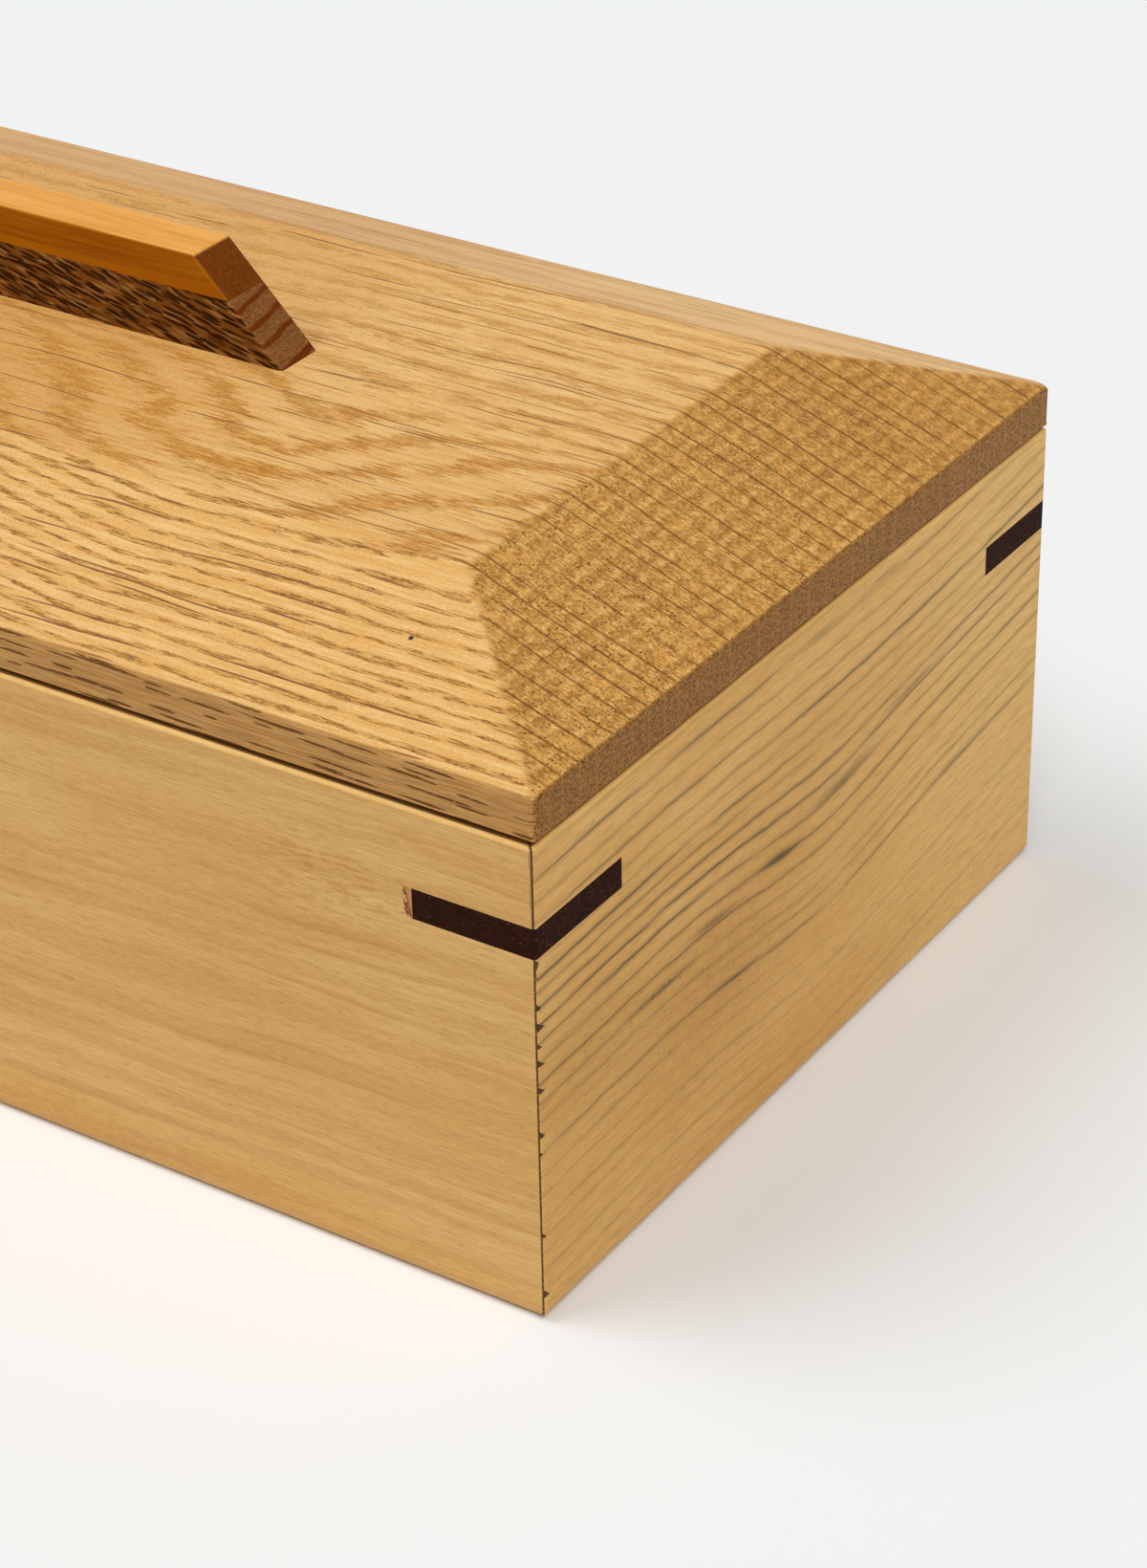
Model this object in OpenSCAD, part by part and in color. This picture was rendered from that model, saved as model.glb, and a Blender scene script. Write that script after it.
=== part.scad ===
// Keepsake box with splined mitre corners, a lift-off lid and a laminated bar handle.
// The lid is one board whose top is bevelled on four sides, so the bevels meet in hips.
// Frame: the origin lies under the centre of the base, X runs along the length,
// the front wall faces -Y and Z points up. Lengths are in millimetres, angles in degrees.

/* [Box] */
// Outside length of the box, along the front
box_length = 300; // [240:5:400]
// Outside depth of the box, from front to back
box_depth = 150; // [110:5:240]
// Height of the box walls, from the base to the rim
box_height = 80.4; // [55:0.1:140]
// Thickness of the wall boards
wall = 12.5; // [11.5:0.5:18]
// Round on the outer arris along the base
base_round = 2.4; // [0.5:0.1:3]
// Round on the outer arris along the rim
rim_round = 0.8; // [0.4:0.1:2.5]
// Round on the four upright outer corners
corner_round = 0.6; // [0.3:0.1:2]

/* [Bottom panel] */
// Thickness of the bottom panel
panel_thickness = 6; // [3:0.5:10]
// Height of the panel's underside above the base
panel_height = 6; // [4:0.5:14]
// Depth of the groove that holds the panel in each wall
groove_depth = 6; // [3:0.5:8]
// Play between the panel's edge and the bottom of the groove
panel_play = 0.5; // [0.2:0.1:1.5]
// Play between the panel's top and the upper side of the groove
groove_play = 0.2; // [0.1:0.1:0.5]

/* [Corner splines] */
// Thickness of the splines and of the kerfs that hold them
spline_thickness = 5; // [2:0.1:8]
// Distance from the rim down to the top of the splines
spline_drop = 12.9; // [8:0.1:30]
// Length of a front spline along the front wall
front_spline_run = 20.4; // [10:0.1:24]
// Length of a front spline along the end wall
front_spline_end_run = 22; // [10:0.1:24]
// Length of a back spline along the back wall and along the end wall
back_spline_run = 20; // [10:0.1:24]

/* [Lid] */
// Height of the upright band round the lid's edge
lid_edge = 6.8; // [4:0.1:12]
// Rise of the four bevels above that band
lid_rise = 12; // [4:0.1:20]
// Width of each bevel, seen from above
bevel_run = 32.3; // [15:0.1:40]
// Distance that the lid's long edges stand back from the walls
lid_inset = 0.2; // [0:0.1:2]
// Distance that the lid's ends stand out past the end walls
lid_overhang = 0.3; // [0:0.1:2]
// Round on the lid's four upright corners
lid_corner_round = 1.4; // [0.4:0.1:3]
// Gap between the rim and the underside of the lid
seat_gap = 0.9; // [0.1:0.1:1]
// Depth of the lip that locates the lid inside the walls
lip_height = 4; // [2:0.5:8]
// Gap between the lip and the inside of the walls
lip_clearance = 0.6; // [0.3:0.1:1.5]
// Round on the lip's corners
lip_round = 2; // [0.5:0.5:6]

/* [Handle] */
// Length of the handle where it stands on the lid
handle_length = 115.4; // [80:0.2:150]
// Width of the handle
handle_width = 9.4; // [7:0.1:16]
// Height of the handle's dark lower layer
handle_base_height = 9.6; // [8:0.1:14]
// Height of the handle's upper layer
handle_cap_height = 6.4; // [3:0.1:12]
// Distance that each end of the handle leans in over its whole height
handle_end_run = 16; // [0:0.5:24]

/* [Handle screws] */
// Distance from each end of the handle to its screw
screw_inset = 22; // [18:0.5:36]
// Diameter of the screw
screw_diameter = 3.5; // [2.5:0.1:4.5]
// Diameter of the screw's countersunk head
screw_head_diameter = 7; // [5.5:0.1:8.5]
// Depth to which the screws reach into the handle
screw_bite = 7; // [5:0.1:8.5]
// Length of the screw's point
screw_point = 3; // [1.5:0.5:5]
// Width of the driver slot in the head
slot_width = 1; // [0.6:0.1:1.4]
// Depth of the driver slot in the head
slot_depth = 0.9; // [0.5:0.1:1.2]
// Radial gap round the screw in the lid
screw_clearance = 0.2; // [0.1:0.1:0.5]
// Radial gap round the screw in the handle
pilot_clearance = 0.05; // [0.05:0.05:0.1]
// Depth of the pilot hole beyond the screw's point
pilot_spare = 0.4; // [0.1:0.1:0.8]

/* [Hidden] */
$fn = 64;

// Distance by which a cutting shape runs past the surface that it cuts
overrun = 1;
// Inside length and depth of the box
inner_length = box_length - 2 * wall;
inner_depth = box_depth - 2 * wall;
// Size of the groove's outline and of the panel that lies in it
groove_length = inner_length + 2 * groove_depth;
groove_width = inner_depth + 2 * groove_depth;
panel_length = groove_length - 2 * panel_play;
panel_width = groove_width - 2 * panel_play;
// Level of the splines' underside
spline_level = box_height - spline_drop - spline_thickness;
// Lid outline, the level of its underside and of its flat top
lid_length = box_length + 2 * lid_overhang;
lid_depth = box_depth - 2 * lid_inset;
lid_level = box_height + seat_gap;
lid_thickness = lid_edge + lid_rise;
lid_top = lid_level + lid_thickness;
// Level of the lip's underside, where the screw heads lie flush
lip_level = lid_level - lip_height;
// Height of the whole handle
handle_height = handle_base_height + handle_cap_height;
// Distance from the middle of the handle to each screw, and the screw's overall length
screw_offset = handle_length / 2 - screw_inset;
screw_length = lip_height + lid_thickness + screw_bite;
// Height of a countersunk head with a right-angled cone
screw_head_height = (screw_head_diameter - screw_diameter) / 2;
// Flat that is left at the end of the screw's point
screw_point_radius = screw_diameter / 8;
// Angles that turn a front wall into each of the others
front = 0;
right = 90;
back = 180;
left = -90;
// Colours of the woods and of the screws
wall_colour = [0.79, 0.63, 0.38];
panel_colour = [0.83, 0.71, 0.50];
spline_colour = [0.22, 0.13, 0.13];
lid_colour = [0.87, 0.69, 0.42];
base_colour = [0.36, 0.23, 0.15];
cap_colour = [0.80, 0.48, 0.18];
screw_colour = [0.76, 0.62, 0.30];

// What a round of the given radius takes off a corner that lies at the origin
module round_off(radius) {
    difference() {
        translate([-overrun, -overrun]) square(radius + overrun);
        translate([radius, radius]) circle(radius);
    }
}

// Upright section of the box, rounded along the base and along the rim
module box_section(width) {
    difference() {
        translate([-width / 2, 0]) square([width, box_height]);
        for (side = [0, 1]) mirror([side, 0]) {
            translate([-width / 2, 0]) round_off(base_round);
            translate([-width / 2, box_height]) mirror([0, 1]) round_off(rim_round);
        }
    }
}

// Plan of a board with four rounded corners, centred on the origin
module rounded_plan(length, width, radius) {
    difference() {
        square([length, width], center = true);
        for (flip_x = [0, 1], flip_y = [0, 1])
            mirror([flip_x, 0]) mirror([0, flip_y])
                translate([-length / 2, -width / 2]) round_off(radius);
    }
}

// Stands a section up and runs it along Y, or along X
module along_y(length) {
    rotate([90, 0, 0]) linear_extrude(length, center = true) children();
}
module along_x(length) {
    rotate([90, 0, 90]) linear_extrude(length, center = true) children();
}

// Outer form of the closed box, with every outer arris rounded
module box_form() {
    intersection() {
        along_y(box_depth) box_section(box_length);
        along_x(box_length) box_section(box_depth);
        linear_extrude(box_height) rounded_plan(box_length, box_depth, corner_round);
    }
}

// Space that the bottom panel's grooves take out of the four walls
module panel_groove() {
    translate([-groove_length / 2, -groove_width / 2, panel_height])
        cube([groove_length, groove_width, panel_thickness + groove_play]);
}

// Wedge across a corner that a spline fills, on the side given by two signs.
// It runs past the walls outside, along the line of its inner face.
module spline_wedge(side_x, side_y, run_x, run_y) {
    far_x = run_x * (1 + overrun / run_y);
    far_y = run_y * (1 + overrun / run_x);
    translate([side_x * box_length / 2, side_y * box_depth / 2, spline_level])
        linear_extrude(spline_thickness)
            polygon([
                [side_x * overrun, side_y * overrun],
                [-side_x * far_x, side_y * overrun],
                [side_x * overrun, -side_y * far_y]
            ]);
}

// The kerfs or splines of the four corners
module front_wedge(side_x) spline_wedge(side_x, -1, front_spline_run, front_spline_end_run);
module back_wedge(side_x) spline_wedge(side_x, 1, back_spline_run, back_spline_run);

// One wall board, mitred at both ends, grooved for the panel and kerfed for the splines
module wall_board(angle, length, span) {
    color(wall_colour)
        difference() {
            intersection() {
                box_form();
                rotate([0, 0, angle]) translate([0, -span / 2, 0])
                    linear_extrude(box_height)
                        polygon([
                            [-length / 2, 0],
                            [length / 2, 0],
                            [length / 2 - wall, wall],
                            [wall - length / 2, wall]
                        ]);
            }
            panel_groove();
            for (side_x = [-1, 1]) {
                front_wedge(side_x);
                back_wedge(side_x);
            }
        }
}

module front_wall() wall_board(front, box_length, box_depth);
module back_wall() wall_board(back, box_length, box_depth);
module left_end_wall() wall_board(left, box_depth, box_length);
module right_end_wall() wall_board(right, box_depth, box_length);

// Panel held loose in the grooves, lying on their lower side
module bottom_panel() {
    color(panel_colour)
        translate([-panel_length / 2, -panel_width / 2, panel_height])
            cube([panel_length, panel_width, panel_thickness]);
}

// Splines, sawn and sanded flush with the walls
module corner_spline() {
    color(spline_colour) intersection() {
        box_form();
        children();
    }
}
module spline_front_left() corner_spline() front_wedge(-1);
module spline_front_right() corner_spline() front_wedge(1);
module spline_back_left() corner_spline() back_wedge(-1);
module spline_back_right() corner_spline() back_wedge(1);

// Upright section of the lid: a band with a bevel above it on each side
module lid_section(width) {
    polygon([
        [-width / 2, 0],
        [width / 2, 0],
        [width / 2, lid_edge],
        [width / 2 - bevel_run, lid_thickness],
        [bevel_run - width / 2, lid_thickness],
        [-width / 2, lid_edge]
    ]);
}

// The lid's board above the rim, where the four bevels meet in hips
module lid_form() {
    intersection() {
        along_y(lid_depth) lid_section(lid_length);
        along_x(lid_length) lid_section(lid_depth);
        linear_extrude(lid_thickness) rounded_plan(lid_length, lid_depth, lid_corner_round);
    }
}

// Puts a copy of a screw or of its hole at one end of the handle, standing on the lip
module at_screw(side_x) {
    translate([side_x * screw_offset, 0, lip_level]) children();
}

// Screw without its slot, point upwards, larger by the given radial gap
module screw_form(gap) {
    radius = screw_diameter / 2 + gap;
    cylinder(h = screw_head_height, r1 = screw_head_diameter / 2 + gap, r2 = radius);
    translate([0, 0, screw_head_height])
        cylinder(h = screw_length - screw_point - screw_head_height, r = radius);
    translate([0, 0, screw_length - screw_point])
        cylinder(h = screw_point, r1 = radius, r2 = screw_point_radius + gap);
}

// Hole through the lid for one screw, with its countersink
module screw_hole() {
    radius = screw_diameter / 2 + screw_clearance;
    cylinder(h = screw_head_height, r1 = screw_head_diameter / 2 + screw_clearance, r2 = radius);
    translate([0, 0, -overrun]) cylinder(h = lip_height + lid_thickness + 2 * overrun, r = radius);
}

// One board: bevelled top, upright band and a rebate below that leaves the locating lip
module lid_panel() {
    color(lid_colour)
        difference() {
            union() {
                translate([0, 0, lid_level]) lid_form();
                translate([0, 0, lip_level])
                    linear_extrude(lip_height)
                        rounded_plan(
                            inner_length - 2 * lip_clearance,
                            inner_depth - 2 * lip_clearance,
                            lip_round
                        );
            }
            for (side_x = [-1, 1]) at_screw(side_x) screw_hole();
        }
}

// One layer of the handle between two heights above the lid, its ends on the slope
module handle_layer(low, high) {
    low_half = handle_length / 2 - handle_end_run * low / handle_height;
    high_half = handle_length / 2 - handle_end_run * high / handle_height;
    translate([0, 0, lid_top])
        along_y(handle_width)
            polygon([[-low_half, low], [low_half, low], [high_half, high], [-high_half, high]]);
}

// Dark lower layer, drilled from below for the screws
module handle_base() {
    color(base_colour)
        difference() {
            handle_layer(0, handle_base_height);
            for (side_x = [-1, 1])
                at_screw(side_x) {
                    screw_form(pilot_clearance);
                    translate([0, 0, pilot_spare]) screw_form(pilot_clearance);
                }
        }
}

// Upper layer, glued to the lower one
module handle_cap() {
    color(cap_colour)
        handle_layer(handle_base_height, handle_height);
}

// Countersunk wood screw with a straight slot
module handle_screw(side_x) {
    color(screw_colour)
        at_screw(side_x)
            difference() {
                screw_form(0);
                translate([-screw_head_diameter / 2 - overrun, -slot_width / 2, -overrun])
                    cube([screw_head_diameter + 2 * overrun, slot_width, slot_depth + overrun]);
            }
}
module handle_screw_left() handle_screw(-1);
module handle_screw_right() handle_screw(1);

front_wall();
back_wall();
left_end_wall();
right_end_wall();
bottom_panel();
spline_front_left();
spline_front_right();
spline_back_left();
spline_back_right();
lid_panel();
handle_base();
handle_cap();
handle_screw_left();
handle_screw_right();
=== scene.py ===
# Looks of the keepsake box: eased boards, solid wood grain, studio light and camera, in metres
import math

import bmesh
import bpy
from mathutils import Matrix, Vector


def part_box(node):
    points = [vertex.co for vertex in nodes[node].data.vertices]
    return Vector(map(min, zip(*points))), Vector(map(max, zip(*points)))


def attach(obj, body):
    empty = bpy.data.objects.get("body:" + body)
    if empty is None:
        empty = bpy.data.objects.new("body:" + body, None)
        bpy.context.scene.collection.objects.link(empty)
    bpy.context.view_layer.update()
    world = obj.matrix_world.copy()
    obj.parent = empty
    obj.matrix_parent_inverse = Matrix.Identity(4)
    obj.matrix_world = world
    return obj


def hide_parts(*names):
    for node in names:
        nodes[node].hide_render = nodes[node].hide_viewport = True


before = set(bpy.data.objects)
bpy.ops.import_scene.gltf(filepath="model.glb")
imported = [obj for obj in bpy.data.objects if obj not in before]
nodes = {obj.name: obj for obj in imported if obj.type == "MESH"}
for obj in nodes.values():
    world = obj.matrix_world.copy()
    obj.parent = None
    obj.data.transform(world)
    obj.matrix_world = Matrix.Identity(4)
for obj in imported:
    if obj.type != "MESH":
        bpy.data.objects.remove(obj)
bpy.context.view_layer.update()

MM = 0.001


# A colour is written as it shows on a screen and turned into a scene value
def screen(red, green, blue):
    def linear(value):
        share = value / 255
        return share / 12.92 if share <= 0.04045 else ((share + 0.055) / 1.055) ** 2.4
    return (linear(red), linear(green), linear(blue), 1.0)


# A value that varies over a surface, with plain arithmetic
class Field:
    def __init__(self, graph, socket):
        self.graph = graph
        self.socket = socket

    def math(self, operation, *others):
        return self.graph.math(operation, self, *others)

    def __add__(self, other):
        return self.math("ADD", other)

    def __radd__(self, other):
        return self.math("ADD", other)

    def __sub__(self, other):
        return self.math("SUBTRACT", other)

    def __rsub__(self, other):
        return self.graph.math("SUBTRACT", other, self)

    def __mul__(self, other):
        return self.math("MULTIPLY", other)

    def __truediv__(self, other):
        return self.math("DIVIDE", other)

    def __abs__(self):
        return self.math("ABSOLUTE")

    def most(self, other):
        return self.math("MAXIMUM", other)

    def rise(self, low, high):
        """0 up to low and 1 from high on, smooth between; a high below low turns it round."""
        return self.graph.smooth_step(self, low, high)

    def peak(self, centre, width):
        """1 at the centre with a sharp point, falling by two thirds in one width."""
        return (abs(self - centre) * (-1 / width)).math("EXPONENT")

    def bell(self, centre, width):
        """1 at the centre with a round top, falling by two thirds in one width."""
        offset = (self - centre) * (1 / width)
        return (offset * offset * -1.0).math("EXPONENT")


# The mix node's sockets for colours come after those for numbers and vectors
MIX_FIRST, MIX_SECOND, MIX_RESULT = 6, 7, 2


# A material's nodes, made by calls that take and give fields; lengths are millimetres
class Graph:
    def __init__(self, name):
        self.material = bpy.data.materials.new(name)
        self.material.use_nodes = True
        self.tree = self.material.node_tree
        self.tree.nodes.clear()
        self.bsdf = self.make("ShaderNodeBsdfPrincipled")
        output = self.make("ShaderNodeOutputMaterial")
        self.link(self.bsdf.outputs[0], output.inputs["Surface"])
        place = self.make("ShaderNodeTexCoord").outputs["Object"]
        facing = self.make("ShaderNodeNewGeometry").outputs["Normal"]
        self.x, self.y, self.z = [axis * (1 / MM) for axis in self.split(place)]
        self.nx, self.ny, self.nz = self.split(facing)

    def make(self, kind, **settings):
        node = self.tree.nodes.new(kind)
        for name, value in settings.items():
            setattr(node, name, value)
        return node

    def link(self, output, socket):
        self.tree.links.new(output, socket)

    def feed(self, socket, value):
        if isinstance(value, Field):
            value = value.socket
        if isinstance(value, bpy.types.NodeSocket):
            self.link(value, socket)
        else:
            socket.default_value = value

    def math(self, operation, *values):
        node = self.make("ShaderNodeMath", operation=operation)
        for socket, value in zip(node.inputs, values):
            self.feed(socket, value)
        return Field(self, node.outputs[0])

    def split(self, vector):
        node = self.make("ShaderNodeSeparateXYZ")
        self.feed(node.inputs[0], vector)
        return [Field(self, output) for output in node.outputs]

    def vector(self, *axes):
        node = self.make("ShaderNodeCombineXYZ")
        for socket, value in zip(node.inputs, axes):
            self.feed(socket, value)
        return node.outputs[0]

    def smooth_step(self, value, low, high):
        node = self.make("ShaderNodeMapRange", interpolation_type="SMOOTHSTEP")
        for name, item in (("Value", value), ("From Min", low), ("From Max", high)):
            self.feed(node.inputs[name], item)
        return Field(self, node.outputs["Result"])

    def noise(self, x, y, z, detail=1.0, roughness=0.5):
        """Smooth noise from 0 to 1 that changes over about 1 along each axis."""
        node = self.make("ShaderNodeTexNoise")
        self.feed(node.inputs["Vector"], self.vector(x, y, z))
        node.inputs["Scale"].default_value = 1.0
        node.inputs["Detail"].default_value = detail
        node.inputs["Roughness"].default_value = roughness
        return Field(self, node.outputs["Fac"])

    def cells(self, *axes):
        """Scattered points, one to a cell: how far the nearest is, the way to it, and its luck."""
        node = self.make("ShaderNodeTexVoronoi", voronoi_dimensions=f"{len(axes)}D")
        vector = self.vector(*axes)
        self.link(vector, node.inputs["Vector"])
        node.inputs["Scale"].default_value = 1.0
        way = self.make("ShaderNodeVectorMath", operation="SUBTRACT")
        self.link(vector, way.inputs[0])
        self.link(node.outputs["Position"], way.inputs[1])
        luck = self.make("ShaderNodeSeparateColor")
        self.link(node.outputs["Color"], luck.inputs[0])
        distance = Field(self, node.outputs["Distance"])
        return distance, self.split(way.outputs[0]), Field(self, luck.outputs[0])

    def mix(self, share, first, second):
        """The first colour where share is 0 and the second where it is 1."""
        node = self.make("ShaderNodeMix", data_type="RGBA")
        self.feed(node.inputs[0], share)
        self.feed(node.inputs[MIX_FIRST], first)
        self.feed(node.inputs[MIX_SECOND], second)
        return node.outputs[MIX_RESULT]

    def lookup(self, value, stops):
        """A share that runs straight from one (place, share) stop to the next."""
        node = self.make("ShaderNodeValToRGB")
        self.feed(node.inputs[0], value)
        elements = node.color_ramp.elements
        elements.remove(elements[-1])
        for index, (place, share) in enumerate(stops):
            element = elements[0] if index == 0 else elements.new(place)
            element.position = place
            element.color = (share, share, share, 1.0)
        part = self.make("ShaderNodeSeparateColor")
        self.link(node.outputs["Color"], part.inputs[0])
        return Field(self, part.outputs[0])

    def finish(self, colour, roughness, height, relief, gloss):
        """Ends the material; relief is how tall the height's 0 to 1 is, in millimetres."""
        self.feed(self.bsdf.inputs["Base Color"], colour)
        self.feed(self.bsdf.inputs["Roughness"], roughness)
        self.bsdf.inputs["Specular IOR Level"].default_value = gloss
        bump = self.make("ShaderNodeBump")
        bump.inputs["Distance"].default_value = relief * MM
        self.feed(bump.inputs["Height"], height)
        self.link(bump.outputs["Normal"], self.bsdf.inputs["Normal"])
        return self.material


# Oak of the lid, a flat-sawn board with its grain along X: the growth rings lie nearly
# flat and roll gently, pores are dashes on the ring edges and rays are upright sheets
RING_STEP = 1.1
VALLEY_X = 70
VALLEYS_APART = 75.0
VALLEY_FLOOR = 9.5
# How far it is up an end bevel for each millimetre of height
BEVEL_STRETCH = 2.8
# Where the long bevel at the front gives way to the flat top, by y
FLAT_FROM = (-50, -38)
# Length and gap of a cell, shift and cells in ten that have a line, for long_lines
RAY_SETS = ((60, 5.2, 0.0, 6), (34, 4.6, 47.3, 4), (20, 6.4, 91.7, 3))
SIDE_DASH_SETS = ((13, 1.3, 3.0, 5), (9, 1.1, 31.3, 4), (21, 2.0, 77.9, 5))
END_RAYS_APART = 4.4
# A small grey stain on the front bevel
MARK_X, MARK_Y, MARK_SIZE = 118, -56.6, 0.42


def lid_rings(g):
    """How many rings up a point lies, with the rolls that draw the flames on the flat top."""
    x, y, z = g.x, g.y, g.z
    swing = (x - VALLEY_X).math("PINGPONG", VALLEYS_APART)
    valley = (swing * swing + VALLEY_FLOOR ** 2).math("SQRT") - VALLEY_FLOOR
    flat = y.rise(*FLAT_FROM)
    valley = valley * (flat + (1 - flat) * x.rise(84, 66)) * y.rise(6, -14)
    back = (y + 12).most(0.0)
    roll = g.noise(x / 40, y / 14, z / 60, detail=2) - 0.5
    return z / RING_STEP + y * 0.075 - valley * 0.062 + back * back * 0.0014 + roll * 1.5


def long_lines(g, across, width, sets):
    """Long thin lines along X; each set has a cell's length and gap, a shift and how many
    cells in ten have a line. across runs over the surface at right angles to them."""
    total = None
    for length, gap, shift, tenths in sets:
        _, (dx, dy, _), luck = g.cells((g.x + shift) / length, (across + shift) / gap)
        reach = (luck * 7).math("FRACT") * 0.4 + 0.15
        taper = (abs(dx) / reach).rise(1.0, 0.3)
        thick = (taper * 0.7 + 0.3) * width
        line = (abs(dy) * gap / thick).rise(1.3, 0.5) * taper.rise(0.0, 0.2)
        line = line * luck.rise(tenths / 10 + 0.01, tenths / 10)
        total = line if total is None else total.most(line)
    return total


def even_lines(g, across, gap, width):
    """Thin lines along X at nearly even gaps, each with its own place and fading on its way."""
    place = across / gap
    index = place.math("FLOOR")
    luck = g.noise(index * 3.7, 0.5, 0.0)
    off = abs(place - index - 0.5 + (luck - 0.5) * 1.5) * gap
    fade = g.noise(g.x / 11, index * 5.3, 1.0).rise(0.26, 0.46)
    return (off / width).rise(1.4, 0.4) * (fade * 0.65 + 0.3) * (luck.rise(0.3, 0.55) * 0.4 + 0.6)


def lid_long_grain(g, slope, hair, streak):
    """Colour of the flat top and of the long bevels with painted sheen and glints, and the pores
    in them.
    """
    x, y, z = g.x, g.y, g.z
    dash = g.noise(x / 3.6, y / 0.3, z / 0.2, detail=1)
    speck = g.noise(x / 0.9, y / 0.22, z / 0.2)
    glint_and_fleck = g.noise(x / 0.5, y / 0.2, z / 0.16)
    patch = g.noise(x / 10, y / 3.2, z / 5, detail=2)
    shred = g.noise(x / 3.5, y / 0.8, z / 0.8, detail=2)
    ring = lid_rings(g) + (streak - 0.5) * 0.5 + (hair - 0.5) * (1.15 - slope * 0.85)
    ring = ring + (shred - 0.5) * (1 - slope) * 0.7
    phase = ring.math("FRACT")
    early = phase.rise(0.0, 0.05) * phase.rise(0.44, 0.26)

    pale = g.mix(streak.rise(0.34, 0.66), LID["straw"], LID["cream"])
    pale = g.mix(hair.rise(0.4, 0.72) * 0.5, pale, LID["honey"])
    golden = early * patch.rise(0.34 - slope * 0.1, 0.49 - slope * 0.03)
    colour = g.mix(golden * (0.96 - slope * 0.39), pale, LID["golden"])
    dashes = dash.rise(0.46, 0.56) * (golden * 0.8 + early * 0.2 + 0.05)
    dashes = dashes * (1 - y.rise(38, 46) * 0.6)
    colour = g.mix(dashes * (0.4 + slope * 0.55), colour, LID["pore"])
    specks = dashes * speck.rise(0.47, 0.58) * (slope * 0.9 + 0.05)
    colour = g.mix(specks, colour, LID["pore_dark"])
    # Painted sheen: paler towards the back; also a little paler on the front bevel
    colour = g.mix(y.rise(-30, 30) * 0.34 + y.rise(-36, -48) * 0.16, colour, LID["cream"])
    colour = g.mix(x.rise(80, 20) * y.rise(*FLAT_FROM) * 0.5, colour, LID["honey"])
    # Painted glints: pale specks; the dark specks beside them are pores
    colour = g.mix(glint_and_fleck.rise(0.5, 0.72) * 0.3, colour, LID["glint"])
    colour = g.mix(glint_and_fleck.rise(0.5, 0.3) * 0.22, colour, LID["pore"])
    return colour, dashes


def lid_rays(g, slope, end):
    """Long rays on the top and the long bevels, and even ones on and next to the end bevels."""
    bent = g.y + (g.noise(g.x / 34, g.y / 10, 0.0) - 0.5) * 3.0
    rays = long_lines(g, bent, slope * 0.03 + 0.155, RAY_SETS) * (1 - end * 0.85)
    near_end = (abs(g.x).rise(106, 119) * (1 - slope)).most(end)
    return rays.most(even_lines(g, bent, END_RAYS_APART, 0.24) * near_end * 0.9)


def lid_end_grain(g, mottle, grit):
    """Colour of the end bevels, rough and calmer towards the back, and the dark dots in it."""
    x, y, z = g.x, g.y, g.z
    up = z * BEVEL_STRETCH
    calm = y.rise(-10, 50)
    brick = g.noise(x / 60, y / 2.6, 0.0)
    row = (z / RING_STEP + (brick - 0.5) * 0.6).math("FRACT")
    row = row.rise(0.0, 0.12) * row.rise(0.6, 0.3)
    colour = g.mix(mottle.rise(0.32, 0.68), LID["end_dark"], LID["end_base"])
    rough = grit.rise(0.48, 0.3) * (0.62 - row * 0.32 - calm * 0.2)
    colour = g.mix(rough, colour, LID["end_row"])
    block = g.noise(up / 7, y / 2.2, 4.4).rise(0.4, 0.6)
    colour = g.mix((1 - row) * block * 0.3, colour, LID["end_row"])
    fibre = g.noise(x / 3, y / 0.28, 1.7, detail=1)
    fibre = fibre.rise(0.5, 0.66) * g.noise(up / 9, y / 6, 5.1).rise(0.46, 0.62)
    colour = g.mix(fibre * 0.5 + calm * 0.16, colour, LID["end_row"])
    shreds = g.noise(up / 1.4, y / 0.4, 8.1, detail=1)
    pale_spots = grit.rise(0.52, 0.7) * 0.5 + shreds.rise(0.46, 0.62) * (row * 0.46 + 0.12)
    colour = g.mix(pale_spots * (0.9 - calm * 0.35), colour, LID["end_fleck"])
    dot, _, dot_luck = g.cells((up + 40) / 0.62, y / 0.62)
    near_front = g.noise(up / 22, y / 22, 0.0) + y.rise(10, -60) * 0.25
    crowd = g.noise(up / 1.7, y / 2.6, 6.6, detail=1)
    dots = dot.rise(0.34, 0.14) * (dot_luck - crowd * 0.5).rise(0.3, 0.42)
    dots = dots * near_front.rise(0.4, 0.72) * crowd.rise(0.4, 0.6)
    return g.mix(dots * 0.9, colour, LID["end_dot"]), dots


def lid_side_band(g, hair, streak):
    """Colour of the upright band on the long sides, and the dashes in it."""
    x, y, z = g.x, g.y, g.z
    colour = g.mix(hair.rise(0.3, 0.7), LID["side_dark"], LID["side"])
    dashes = long_lines(g, z + x * 0.02 + streak * 0.5, 0.2, SIDE_DASH_SETS)
    dashes = dashes * g.noise(x / 1.6, y, z / 0.2).rise(0.28, 0.42)
    return g.mix(dashes * 0.92, colour, LID["side_dash"]), dashes


def lid_end_band(g, mottle):
    """Colour of the upright band on the two ends."""
    dot, _, luck = g.cells(g.y / 0.55, (g.z + g.y * 0.3) / 0.5)
    colour = g.mix(mottle.rise(0.3, 0.7), LID["edge_dark"], LID["edge"])
    dots = dot.rise(0.46, 0.22) * luck.rise(0.1, 0.3)
    return g.mix(dots * 0.7, colour, LID["end_dot"])


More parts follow.
